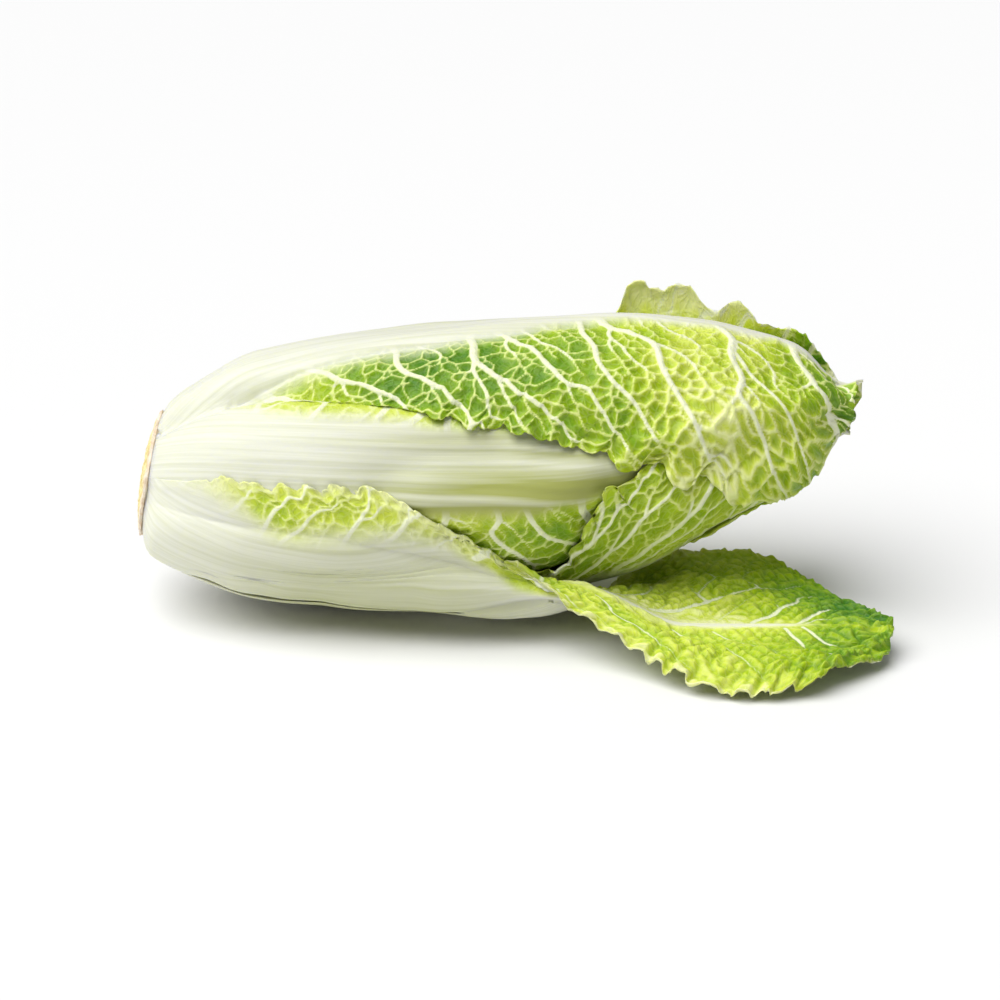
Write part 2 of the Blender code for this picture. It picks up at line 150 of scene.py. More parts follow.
def headRadius(s):
    s = np.asarray(s, float)
    toBase = np.clip((widestAt - s) / widestAt, 0.0, 1.0)
    toTip = np.clip((s - widestAt) / (1.0 - widestAt), 0.0, 1.0)
    base = baseRadius + (headRadiusMost - baseRadius) * (1 - toBase**2.6) ** 0.60
    tip = tipRadius + (headRadiusMost - tipRadius) * (1 - toTip**2.1) ** 0.78
    return np.where(s < widestAt, base, tip)


def axisHeight(s):
    s = np.clip(np.asarray(s, float), 0.0, None)
    return axisHeightBase + axisRise * s**axisBow - tipNod * smoothStep(s, 0.78, 1.0)


def headPoint(s, degrees, radius):
    angle = np.radians(degrees)
    up = radius * np.sin(angle)
    lean = baseLean * (1 - smoothStep(s, 0.0, leanFadesBy))
    return np.stack([s * headLength + lean * up, -radius * np.cos(angle), axisHeight(s) + up], axis=-1)


def halfWidth(s, leaf):
    opening = np.sin(0.75 * math.pi * np.clip(s, 0.0, 1.0) ** 1.3)
    return leaf["width"] * (0.034 + (leafHalfWidth - 0.034) * opening)


def halfAngle(s, leaf, side):
    angle = np.degrees(halfWidth(s, leaf) / headRadius(s))
    foot = smoothStep(s, 0.02, 0.22)
    angle = leafBaseAngle * (1 - foot) + angle * foot
    if "shoulder" in leaf:
        narrow = np.minimum(angle, shoulderLowAngle)
        wide = smoothStep(s, leaf["shoulder"] - 0.035, leaf["shoulder"] + 0.035)
        front = narrow * (1 - wide) + (angle - shoulderStepBack) * wide
        angle = np.where(np.asarray(side) > 0, front, angle)
    if "frontEdge" in leaf:
        angle = np.where(np.asarray(side) < 0, np.minimum(angle, leaf["frontEdge"]), angle)
    return np.minimum(angle, mostWrapAngle)


def centreAngle(s, leaf):
    return leaf["centre"] + leaf["turn"] * np.asarray(s, float)


def endOf(b, leaf):
    return leaf["end"] * (1 - leaf.get("tip", tipRounding) * np.abs(b) ** 2.6)


def midribHalfWidth(s):
    return midribHalfWidthAtFoot * (1 - np.clip(s, 0, 1) ** 1.5) + 0.0015


def leafThickness(s, offset):
    rib = np.clip(1 - (np.abs(offset) / midribHalfWidth(s)) ** 2.4, 0, 1)
    swell = smoothStep(s, -0.01, 0.16) * (1 - 0.93 * smoothStep(s, 0.25, 1.0))
    foot = footThickening * (1 - smoothStep(s, 0.02, 0.10))
    return bladeThickness + foot + midribThickness * swell * rib**0.7


# The layers: each leaf lies on what is under it

gridAlong = np.linspace(0.0, 1.0, 91)
gridRound = np.arange(144) * 2.5


def widened(field, cells):
    for _ in range(cells):
        field = np.maximum.reduce([field, np.roll(field, 1, 1), np.roll(field, -1, 1)])
    edge = np.pad(field, ((1, 0), (0, 0)), mode="edge")
    return np.maximum(edge[:-1], field)


def smoothed(field, times):
    for _ in range(times):
        field = (np.roll(field, 1, 1) + 2 * field + np.roll(field, -1, 1)) / 4
        edge = np.pad(field, ((1, 1), (0, 0)), mode="edge")
        field = (edge[:-2] + 2 * edge[1:-1] + edge[2:]) / 4
    return field


def turned(degrees):
    return (np.asarray(degrees, float) + 180.0) % 360.0 - 180.0


def coreRadius(s):
    return coreRadiusAtFoot * (1 - smoothStep(s, 0.02, 0.20))


def laidOver(top):
    return smoothed(widened(top, 3), 3) + layerGap


def layLeaves(heart):
    s, degrees = np.meshgrid(gridAlong, gridRound, indexing="ij")
    top = heart.copy()
    inner = {}
    for leaf in wrappedLeaves:
        off = turned(degrees - centreAngle(s, leaf))
        share = off / halfAngle(s, leaf, off)
        under = laidOver(top)
        thick = leafThickness(s, np.radians(off) * headRadius(s)) + ribHeight + leaf["ruffle"]
        covered = (np.abs(share) <= 1.05) & (s <= endOf(np.clip(share, -1, 1), leaf) + 0.02)
        inner[leaf["name"]] = under
        top = np.where(covered, under + thick, top)
    return inner, top


def openLeafCover(s, degrees):
    off = turned(degrees - openCentre)
    reach = np.where(off > 0, openNearAngle, openFarAngle)
    lies = (1 - smoothStep(np.abs(off) / reach, 0.8, 1.25)) * (1 - smoothStep(s, 0.35, 0.55))
    return lies * (layerGap + leafThickness(s, np.radians(off) * headRadius(s)))


def fitHeart():
    s, degrees = np.meshgrid(gridAlong, gridRound, indexing="ij")
    want = headRadius(s) - openLeafCover(s, degrees)
    heart = want * 0.6
    least = np.maximum(coreRadius(s), leastHeartRadius)
    for _ in range(6):
        top = layLeaves(heart)[1]
        heart = smoothed(np.maximum(heart + smoothed(want - top, 8), least), 5)
    return heart


def sample(field, s, degrees):
    row = np.clip(np.asarray(s, float), 0, 1) * (len(gridAlong) - 1)
    column = (np.asarray(degrees, float) % 360.0) / 360.0 * len(gridRound)
    i = np.minimum(row.astype(int), len(gridAlong) - 2)
    j = column.astype(int) % len(gridRound)
    k = (j + 1) % len(gridRound)
    fi, fj = row - i, column - np.floor(column)
    near = field[i, j] * (1 - fj) + field[i, k] * fj
    far = field[i + 1, j] * (1 - fj) + field[i + 1, k] * fj
    return near * (1 - fi) + far * fi


# Veins, grown on the flat leaf in mm

sideVeinSpacing = 21.0
firstSideVein = 12.0
steepensOver = 90.0    # mm across the leaf over which a side vein steepens
flowUnit = 41.0        # mm2 of blade for one unit of flow in a vein
outerNet = 5.2         # width of a cell of the net on the wrapped leaves
openBladeHalf = 70.0
openNet = 4.8          # and on the open one, whose cells stand up as blisters
innerSeed = 11
mainVein = 0.42        # half the width in mm from which a vein is a side vein
mainVeinReach = 9.5
noVein = 4.0           # mm to the nearest vein where none is near
rasterStep = 0.5
rasterLength = 330.0
rasterHalf = 140.0


# Half the width of the white midrib in mm
def whiteHalf(p, share):
    alongLeaf = 35.0 * (1 - smoothStep(p / lengthMm, 0.25, 1.05))
    atFoot = 14.0 * (1 - smoothStep(p, 18, 68))
    return share * (1.5 + alongLeaf + atFoot)


# Where a side vein through (p, q) leaves the white midrib: it starts shallow and steepens
def sideVeinFoot(p, q, white):
    reach = np.maximum(np.abs(q) - 0.7 * white, 0)
    return p - 1.5 * reach + 0.50 * reach**2 / steepensOver


# cell is the width of a cell of the net, and bladeHalf half the width of the blade that the veins serve.
# Shortest ways back to the midrib carry the flow of the blade
def growVeins(seed, whiteShare, cell, bladeHalf):
    rng = np.random.default_rng(seed)
    alongStep, acrossStep = cell * 0.5, cell * 0.87
    p, q = np.meshgrid(np.arange(10, 322, alongStep), np.arange(-134, 134.1, acrossStep), indexing="ij")
    rows, columns = p.shape
    ij = np.add.outer(np.arange(rows), np.arange(columns))
    p = p + rng.uniform(-0.42, 0.42, p.shape) * alongStep
    q = q + rng.uniform(-0.28, 0.28, q.shape) * acrossStep + np.where(ij % 2 == 0, 0.14, -0.14) * acrossStep
    white = whiteHalf(p, whiteShare)
    # Nodes near a side vein move onto it
    foot = sideVeinFoot(p, q, white) + 4.0 * noise(p / 26, q / 26, seed + 3)
    stagger = np.where(q > 0, 0.5, 0.0) * sideVeinSpacing
    order = np.round((foot - firstSideVein - stagger) / sideVeinSpacing).astype(np.int64)
    wanted = firstSideVein + stagger + order * sideVeinSpacing
    miss = foot - (wanted + 4.5 * hashed(order, (q > 0).astype(np.int64), seed))
    near = np.exp(-(miss / (0.6 * cell)) ** 2)
    p = p - 0.8 * miss * near
    index = np.arange(rows * columns).reshape(rows, columns)
    lengthwise = np.stack([index[:-1].ravel(), index[1:].ravel()], axis=1)
    joined = ij[:, :-1] % 2 == 0
    crosswise = np.stack([index[:, :-1][joined], index[:, 1:][joined]], axis=1)
    edges = np.concatenate([lengthwise, crosswise])
    at = np.stack([p.ravel(), q.ravel()], axis=1)
    onSide = near.ravel()
    # An edge costs least along the side veins and in their direction
    delta = at[edges[:, 1]] - at[edges[:, 0]]
    length = np.linalg.norm(delta, axis=1) + 1e-6
    middle = at[edges].mean(axis=1)
    reach = np.maximum(np.abs(middle[:, 1]) - 0.7 * white.ravel()[edges[:, 0]], 0)
    heading = np.stack([np.maximum(1.5 - reach / steepensOver, 0.3), np.sign(middle[:, 1])], axis=1)
    heading /= np.linalg.norm(heading, axis=1, keepdims=True)
    straight = np.abs((delta * heading).sum(axis=1) / length)
    along = onSide[edges].min(axis=1)
    cost = length * (0.5 + 0.9 * (1 - straight**2)) * (0.22 + 0.78 * (1 - along))
    cost = cost * np.exp(0.55 * (1 - 0.8 * along) * rng.standard_normal(len(cost)))
    neighbours = [[] for _ in range(len(at))]
    for (i, j), c in zip(edges.tolist(), cost.tolist()):
        neighbours[i].append((j, c))
        neighbours[j].append((i, c))
    atMidrib = np.abs(at[:, 1]) < whiteHalf(at[:, 0], whiteShare) * 0.8
    dist = np.where(atMidrib, 0.0, np.inf).tolist()
    parent = [-1] * len(at)
    heap = [(0.0, int(i)) for i in np.flatnonzero(atMidrib)]
    done = []
    closed = [False] * len(at)
    while heap:
        d, i = heapq.heappop(heap)
        if closed[i]:
            continue
        closed[i] = True
        done.append(i)
        for j, c in neighbours[i]:
            if d + c < dist[j]:
                dist[j] = d + c
                parent[j] = i
                heapq.heappush(heap, (d + c, j))
    area = cell * cell / flowUnit
    flow = area * (0.04 + 0.96 * (1 - smoothStep(np.abs(at[:, 1]), 0.90 * bladeHalf, bladeHalf)))
    for i in reversed(done):
        if parent[i] >= 0:
            flow[parent[i]] += flow[i]
    # Thick veins pull straight
    parent = np.array(parent)
    isTree = (parent[edges[:, 0]] == edges[:, 1]) | (parent[edges[:, 1]] == edges[:, 0])
    carried = np.where(isTree, np.minimum(flow[edges[:, 0]], flow[edges[:, 1]]), 0.35 * area)
    for _ in range(5):
        total = np.zeros((len(at), 2))
        weight = np.zeros(len(at))
        for k in (0, 1):
            np.add.at(total, edges[:, k], at[edges[:, 1 - k]] * carried[:, None])
            np.add.at(weight, edges[:, k], carried)
        pull = (weight > 0) & ~atMidrib
        at[pull] = 0.45 * at[pull] + 0.55 * total[pull] / weight[pull, None]
    widths = np.where(isTree, 0.22 + 0.08 * np.sqrt(carried) + 0.006 * carried, 0.22)
    # Some of the cells run together
    keep = ~atMidrib[edges].all(axis=1) & (isTree | (rng.random(len(edges)) < 0.66))
    return at, edges[keep], np.minimum(widths, 1.7)[keep]


# Veins as fields over the flat leaf in mm: how high, and how far the nearest vein's edge is
def drawVeins(at, edges, widths):
    shape = (int(rasterLength / rasterStep), int(2 * rasterHalf / rasterStep))
    ridge, near, nearMain = np.zeros(shape), np.full(shape, noVein), np.full(shape, 2 * noVein)
    for (i, j), w in zip(edges, widths):
        a, b = at[i], at[j]
        reach = mainVeinReach if w > mainVein else noVein
        low = np.minimum(a, b) - reach
        high = np.maximum(a, b) + reach
        r0, r1 = max(int(low[0] / rasterStep), 0), min(int(high[0] / rasterStep) + 1, shape[0])
        c0 = max(int((low[1] + rasterHalf) / rasterStep), 0)
        c1 = min(int((high[1] + rasterHalf) / rasterStep) + 1, shape[1])
        if r0 >= r1 or c0 >= c1:
            continue
        pp = (np.arange(r0, r1)[:, None] + 0.5) * rasterStep
        qq = (np.arange(c0, c1)[None, :] + 0.5) * rasterStep - rasterHalf
        run = b - a
        t = np.clip(((pp - a[0]) * run[0] + (qq - a[1]) * run[1]) / (run @ run + 1e-9), 0, 1)
        d = np.hypot(pp - a[0] - t * run[0], qq - a[1] - t * run[1])
        window = (slice(r0, r1), slice(c0, c1))
        height = 0.30 + 0.75 * min(w, 1.3)
        ridge[window] = np.maximum(ridge[window], height * np.exp(-(d / (1.1 * w + 0.35)) ** 2))
        near[window] = np.minimum(near[window], d - w)
        if w > mainVein:
            nearMain[window] = np.minimum(nearMain[window], d - w)
    return dict(ridge=ridge, near=near, nearMain=nearMain)


def readVeins(field, p, q):
    x = np.clip(p / rasterStep - 0.5, 0, field.shape[0] - 1.001)
    y = np.clip((q + rasterHalf) / rasterStep - 0.5, 0, field.shape[1] - 1.001)
    i, j = x.astype(int), y.astype(int)
    fx, fy = x - i, y - j
    low = field[i, j] * (1 - fy) + field[i, j + 1] * fy
    high = field[i + 1, j] * (1 - fy) + field[i + 1, j + 1] * fy
    return low * (1 - fx) + high * fx


# Relief in mm and colour of a leaf at flat places: outer is the rib side, blister the smooth side
def leafSurface(leaf, veins, p, q, edge, white):
    seed = leaf["seed"]
    half = white * (1 + 0.10 * noise(p / 30, q / 200, seed)) + 1.5 * noise(p / 9, q / 50, seed + 9)
    rib = 1 - smoothStep(np.abs(q), 0.80 * half, 1.12 * half + 3.0)
    grown = smoothStep(p, 25, 80)
    near = readVeins(veins["near"], p, q)
    main = readVeins(veins["nearMain"], p, q)
    inside = np.maximum(near, 0)
    blade = (1 - rib) * (0.35 + 0.65 * grown)
    wander = 5.0 * noise(p / 70, q / 40, seed + 10)
    groove = 0.75 * noise((q + wander) / 5.2, p / 150.0, seed + 1)
    groove = groove + 0.35 * noise((q + wander) / 2.3, p / 90.0, seed)
    streak = noise(q / 1.7, p / 60.0, seed + 2)
    billow = 0.8 * (1 - np.exp(-np.maximum(main, 0) / 3.0)) * (0.6 + 0.8 * noise(p / 8, q / 8, seed + 3))
    pocket = 0.75 * (1 - np.exp(-inside / 0.8))
    crumple = 0.35 * noise(p / 2.7, q / 2.7, seed + 4) + 0.20 * noise(p / 1.6, q / 1.6, seed + 5)
    ridge = readVeins(veins["ridge"], p, q)
    stalk = leaf["ridges"] * smoothStep(p, 15, 110) * groove + 0.14 * streak
    outer = rib * stalk + blade * (ridge + billow - pocket + crumple)
    pillow = 1 - (1 - np.minimum(inside / 2.2, 1)) ** 2
    swollen = 1.9 * pillow * (0.8 + 0.4 * noise(p / 6, q / 6, seed + 13))
    blister = blade * (swollen + 0.8 * crumple + 0.5 * billow)
    green = np.interp(p / lengthMm, greenAlong, leaf["green"])
    green = green + 0.12 * noise(p / 14, q / 14, seed + 6)
    green = green - 0.18 * np.exp(-edge / 5.0) * (1 - smoothStep(p, 255, 280))
    green = green - 0.25 * np.exp(-np.maximum(np.abs(q) - half, 0) / 7.0) + 0.20 * pocket - 0.09
    # Painted shade: the stalk's grooves are made olive; its streaks add some olive too
    shade = np.clip(0.35 - 0.80 * groove, 0, 1) * smoothStep(p, 50, 170) * leaf["ridges"]
    return dict(rib=rib, outer=outer, blister=blister, near=near, main=main, green=np.clip(green, 0, 1),
                shade=shade + 0.12 * streak * grown)


# Round lobes with narrow notches between them, from 0 to 1
def lobed(way, size, seed):
    turn = way / size + 0.8 * noise(way / (2.2 * size), 0.5, seed)
    return np.sqrt(np.abs(np.sin(math.pi * turn))) * (0.75 + 0.25 * noise(way / (1.6 * size), 0.5, seed + 1))


# A ruffled edge by the way along it in mm, for one mm of frill: out of the leaf, along the edge and
# across it. The slide along the edge folds the waves over
def ruffle(way, edge, wave, seed):
    phase = 2 * math.pi * (way / wave + 0.8 * noise(way / (1.9 * wave), 0.5, seed)) + edge / 14.0
    small = 2 * math.pi * (way / (0.38 * wave) + 0.7 * noise(way / wave, 0.5, seed + 1)) + edge / 5.0
    deep = np.exp(-(edge / 10.0) ** 1.5)
    size = 0.75 + 0.35 * noise(way / (2.3 * wave), 0.5, seed + 2)
    swell = 0.5 + 0.5 * np.sin(phase)
    lift = deep * size * (0.72 * swell + 0.28 * (0.5 + 0.5 * np.sin(small)))
    slide = -deep * size * (0.24 * np.sin(2 * phase) + 0.06 * np.sin(2 * small))
    across = deep * (0.70 * swell - 0.20)
    return lift, slide, across


# How far the edge's outline itself goes in and out, in mm
def edgeOutline(way, seed):
    large = 2.4 * noise(way / 21.0, 0.3, seed) + 3.4 * lobed(way, 14.0, seed + 1)
    return large + 1.3 * lobed(way, 6.0, seed + 4) - 3.2


def meshFrom(bm, name):
    mesh = bpy.data.meshes.new(name)
    bm.to_mesh(mesh)
    bm.free()
    return mesh


def readPoints(mesh):
    co = np.zeros(len(mesh.vertices) * 3)
    mesh.vertices.foreach_get("co", co)
    return co.reshape(-1, 3)


def writePoints(mesh, points):
    mesh.vertices.foreach_set("co", (points - frameMove).astype(np.float32).ravel())


# The flat places of a leaf, in metres, as the UV map that its patterns use
def writeFlat(mesh, flat):
    corners = np.zeros(len(mesh.loops), np.int32)
    mesh.loops.foreach_get("vertex_index", corners)
    uv = mesh.uv_layers.new(name="flatLeaf")
    uv.data.foreach_set("uv", flat[corners].astype(np.float32).ravel())


def addObject(name, data):
    obj = bpy.data.objects.new(name, data)
    bpy.context.scene.collection.objects.link(obj)
    return obj


def addAttribute(mesh, name, values):
    mesh.attributes.new(name, "FLOAT", "POINT").data.foreach_set("value", np.asarray(values, np.float32))


# A closed leaf on a grid. place(a, b, isInner) gives points, flat places and attributes
def leafShell(name, grid, place):
    bm = bmesh.new()
    bmesh.ops.create_grid(bm, x_segments=grid[0], y_segments=grid[1], size=1.0)
    made = bmesh.ops.extrude_face_region(bm, geom=list(bm.faces), use_keep_orig=True)
    lower = [v for v in made["geom"] if isinstance(v, bmesh.types.BMVert)]
    bmesh.ops.translate(bm, verts=lower, vec=(0.0, 0.0, -1.0))
    bmesh.ops.recalc_face_normals(bm, faces=bm.faces)
    mesh = meshFrom(bm, name)
    co = readPoints(mesh)
    points, flat, values = place((co[:, 0] + 1) / 2, co[:, 1], co[:, 2] < -0.5)
    writePoints(mesh, points)
    writeFlat(mesh, flat)
    for key, value in values.items():
        addAttribute(mesh, key, value)
    mesh.shade_smooth()
    mesh.update()
    return addObject(name, mesh)


def finishPiece(obj, material, slot, *nodes):
    obj.data.materials.append(material)
    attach(obj, "root")
    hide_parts(*nodes)


footStart = 0.004      # the shown leaves begin round the stem's rim
footRim = 0.0250       # radius at which they all join it
footRounding = 9.0     # mm over which they round out from it
edgeGap = 0.0004       # how close a leaf's edge lies on the leaf below
stalkSink = 0.0012     # how far the edges sink into the leaf below along the stalks
pressedOver = 14.0     # mm from the edge within which a leaf is pressed down
meanRelief = 0.0004
topSmoothing = 8       # rounds of smoothing of the form that the top leaf lies on
topClearance = 0.0015  # least distance from that form to what is shown below it


def roundFoot(s, radius):
    t = np.clip((s - footStart) * lengthMm / footRounding, 0, 1)
    return footRim + (radius - footRim) * (0.03 + 0.97 * np.sqrt(1 - (1 - t) ** 2))


# The inner face of a leaf: as in the solids, but its edge lies close on what is shown below it
def leafBase(s, degrees, edge, field, shown, lying=1.0):
    close = np.exp(-(edge / pressedOver) ** 2) * lying
    base = sample(field, s, degrees)
    # Along the stalks the edge sinks into the leaf below, where the real ones are pressed together
    gap = edgeGap - stalkSink * (1 - smoothStep(s, 0.28, 0.46))
    return np.minimum(base, base * (1 - close) + (sample(shown, s, degrees) + gap) * close)


# The shown outer face of the leaves so far, on the grid of the layers
def showLeaf(leaf, field, shown):
    s, degrees = np.meshgrid(gridAlong, gridRound, indexing="ij")
    off = turned(degrees - centreAngle(s, leaf))
    angle = halfAngle(s, leaf, off)
    share = off / angle
    side = 1000 * (1 - np.abs(share)) * np.radians(angle) * headRadius(s)
    end = endOf(np.clip(share, -1, 1), leaf)
    edge = np.maximum(np.minimum(side, lengthMm * (end - s)), 0)
    thick = leafThickness(s, np.radians(off) * headRadius(s))
    outer = leafBase(s, degrees, edge, field, shown) + thick + meanRelief
    return np.where((np.abs(share) <= 1.0) & (s <= end), outer, shown)


def wrappedLeaf(leaf, field, shown, top, veins, material):
    seed = leaf["seed"]

    def place(a, c, isInner):
        a = a**0.88
        b = c + leaf["dense"] * (1 - c * c)
        end = endOf(b, leaf)
        if "fullTip" in leaf:
            blunt = np.where(b < 0, leaf["fullTip"], tipRounding)
            end = leaf["tipEnd"] * (1 - blunt * np.abs(b) ** 2.6)
        s = footStart + (end - footStart) * a
        radius = headRadius(s)
        angle = halfAngle(s, leaf, b)
        half = 1000 * np.radians(angle) * radius
        p, q = lengthMm * s, b * half
        way = p + 0.6 * np.abs(q) + np.where(b > 0, 500, 0)
        side = (1 - np.abs(b)) * half
        edge = np.minimum(side, lengthMm * (end - s))
        grown = smoothStep(s, leaf["frillFrom"], leaf.get("frillFull", leaf["frillFrom"] + 0.14))
        tipEdge = smoothStep(a, 0.90, 1.0)
        amount = np.where(b < 0, leaf["frill"][0], leaf["frill"][1])
        amount = amount * (1 - tipEdge) + np.minimum(amount, 2.4) * tipEdge
        if "shoulder" in leaf:
            ruffled = smoothStep(s, 0.52, 0.60) * (1 - smoothStep(s, 0.76, 0.86))
            amount = np.where(b > 0, 1.0 + (amount - 1.0) * ruffled, amount)
        amount = amount * grown
        lift, slide, across = ruffle(way, edge, leaf["wave"], seed + 8)
        lift, slide, across = amount * lift, amount * slide, amount * across
        outline = leaf["lobes"] * edgeOutline(way, seed + 7)
        outline = outline * (0.25 + 0.75 * grown) * smoothStep(s, 0.03, 0.10)
        outwards = outline + np.where(b < 0, np.interp(s, widerAt, leaf.get("wider", 0) * widerBy), 0)
        sideways = outwards * smoothStep(np.abs(b), 0.60, 1.0) + leaf["lobes"] * across
        forwards = outline * tipEdge + slide * (1 - tipEdge)
        degrees = centreAngle(s, leaf) + b * angle + np.sign(b) * np.degrees(0.001 * sideways / radius)
        sMoved = np.clip(s + 0.001 * forwards / headLength, footStart, 0.995)
        look = leafSurface(leaf, veins, p, q, edge, whiteHalf(p, leaf["white"]))
        lying = 1.0
        if leaf["name"] == "leafTop":
            puff = np.interp(s, puffAt, puffBy) * smoothStep(degrees, 10, 60)
            lift = lift + puff * (1 - smoothStep(degrees, 118, 140))
            # Painted light: its front part near the tip, which turns down from the lamp, is painted pale,
            # with darker cells and a stronger relief
            paintedLightPart = smoothStep(-b, 0.25, 0.75) * smoothStep(s, 0.60, 0.75)
            paintedLightPart = paintedLightPart * (1 - smoothStep(s, 0.93, 0.99))
            cell = 1 - np.exp(-np.maximum(look["near"], 0) / 1.2)
            look["green"] = np.clip(look["green"] + (0.34 * cell - 0.26) * paintedLightPart, 0, 1)
            look["outer"] = look["outer"] * (1 + 0.5 * paintedLightPart)
        if leaf["name"] == "leafFront":
            # Painted shade: its stalk is made olive along the lower side, which faces down away from the
            # lamp
            look["shade"] = look["shade"] + 0.45 * smoothStep(-q, 1, 14) * smoothStep(p, 45, 110)
        if "frontEdge" in leaf:
            raised = np.interp(s, standsAt, standsUp) * smoothStep(-b, 0.72, 1.0)
            lift = lift + raised
            # Painted light: the higher the edge stands, the paler it is painted, as where it catches the
            # light
            look["green"] = np.clip(look["green"] - 0.035 * raised, 0, 1)
            lying = np.where(b < 0, 1 - smoothStep(s, 0.61, 0.65), 1.0)
        thick = leafThickness(s, b * np.radians(angle) * radius)
        # Less relief where other leaves cover it
        cover = sample(top, s, degrees) - sample(field, s, degrees) - thick - ribHeight - leaf["ruffle"]
        bare = 1 - 0.75 * smoothStep(cover, 0.0012, 0.0026)
        low = leafBase(sMoved, degrees, edge, field, shown, lying) + 0.001 * lift * bare
        thick = thick - (0.0006 + 0.0011 * (1 - smoothStep(s, 0.12, 0.24))) * np.exp(-(edge / 2.5) ** 2)
        relief = 0.001 * leaf["relief"] * bare
        outerRadius = low + thick + relief * np.clip(look["outer"], -0.7, 1.7)
        innerRadius = low + relief * np.clip(look["outer"] - 0.2, 0.0, 0.8) * (1 - look["rib"])
        points = headPoint(sMoved, degrees, roundFoot(s, np.where(isInner, innerRadius, outerRadius)))
        points[:, 2] = np.maximum(points[:, 2], 0.00015)
        flat = np.stack([p, q], axis=1) / 1000
        values = dict(rib=look["rib"], veinGap=look["near"], mainGap=look["main"], green=look["green"],
                      shade=look["shade"])
        return points, flat, values

    obj = leafShell(leaf["name"], leaf["grid"], place)
    slot = "inner_leaf" if leaf["name"].startswith("inner") else "outer_leaf"
    finishPiece(obj, material, slot, leaf["node"])
    return obj


# The open leaf

openCentre = -40.0
openNearAngle = 55.0
openWaistAngle = 12.0
openFarAngle = 22.0
openFarMore = 10.0     # degrees that the shown leaf goes on below the head
openBladeNear = 0.062
openBladeFar = 0.085
openWaistFrom = 0.25
openWaistTo = 0.60
openLeavesFrom = 0.40
openLeavesTo = 0.60
openMidrib = dict(y=(-0.053, -0.062, 0.47, 0.80), z=(0.0255, 0.0115, 0.60, 0.74))
openNearEdge = dict(y=(-0.054, -0.110, 0.48, 0.82), z=(0.033, 0.0040, 0.46, 0.80))
openFarEdge = dict(y=(-0.030, 0.013, 0.47, 0.72), z=(0.004, 0.0165, 0.50, 0.76))
openLeaf = dict(name="leafOpen", node="leaf_open", end=1.020, tip=0.11, grid=(300, 160), seed=61, white=0.95,
                green=(0.1, 0.52, 0.46, 0.35, 0.36, 0.66), frill=(1.8, 3.6), wave=12.0, ridges=0.25)


# The angle that the near half takes up on the head
def openNearReach(s):
    waist = smoothStep(s, openWaistFrom, openWaistTo)
    return openNearAngle + (openWaistAngle - openNearAngle) * waist


def along(curve, s):
    before, after, low, high = curve
    return before + (after - before) * smoothStep(s, low, high)


def underside(s, y, cover):
    radius = headRadius(s)
    for _ in range(3):
        degrees = -np.degrees(np.arccos(np.clip(-y / radius, -1, 1)))
        radius = sample(cover, s, degrees)
    return axisHeight(s) - np.sqrt(np.maximum(radius**2 - y**2, 0.0))


def openSheet(a, b, cover, shown):
    end = endOf(b, openLeaf)
    s = footStart + (end - footStart) * a
    # Its far edge goes on below the head until it is out of sight
    farAngle = openFarAngle + openFarMore * (1 - smoothStep(s, 0.30, 0.45))
    degrees = openCentre + b * np.where(b > 0, openNearReach(s), farAngle)
    side = 1000 * (1 - np.abs(b)) * openHalfWidth(s, b)
    under = leafBase(np.minimum(s, 1.0), degrees, side, cover, shown)
    onHead = headPoint(np.minimum(s, 1.0), degrees, roundFoot(s, under))
    share = np.abs(b) * (1 - np.where(b > 0, 0.35, 0.60) * smoothStep(s, 0.82, openLeaf["end"]))
    spread = []
    for axis in "yz":
        rib = along(openMidrib[axis], s)
        edge = np.where(b > 0, along(openNearEdge[axis], s), along(openFarEdge[axis], s))
        spread.append(rib + (edge - rib) * share)
    y, z = spread
    z = z + 0.004 * share * (1 - share) * np.where(b > 0, 2.0, -1.5)
    fold = np.exp(-((share - 0.30) / 0.16) ** 2) - 0.8 * np.exp(-((share - 0.72) / 0.16) ** 2)
    z = z - 0.0030 * np.where(b > 0, fold, 0.0) * smoothStep(s, 0.62, 0.74)
    z = np.where((b < 0) & (s < 1.0), np.minimum(z, underside(np.minimum(s, 1.0), y, cover) - 0.0025), z)
    free = smoothStep(s, openLeavesFrom, openLeavesTo)[:, None]
    point = onHead * (1 - free) + np.stack([s * headLength, y, z], axis=1) * free
    point[:, 2] = np.maximum(point[:, 2], 0.0022)
    return s, point, free[:, 0]


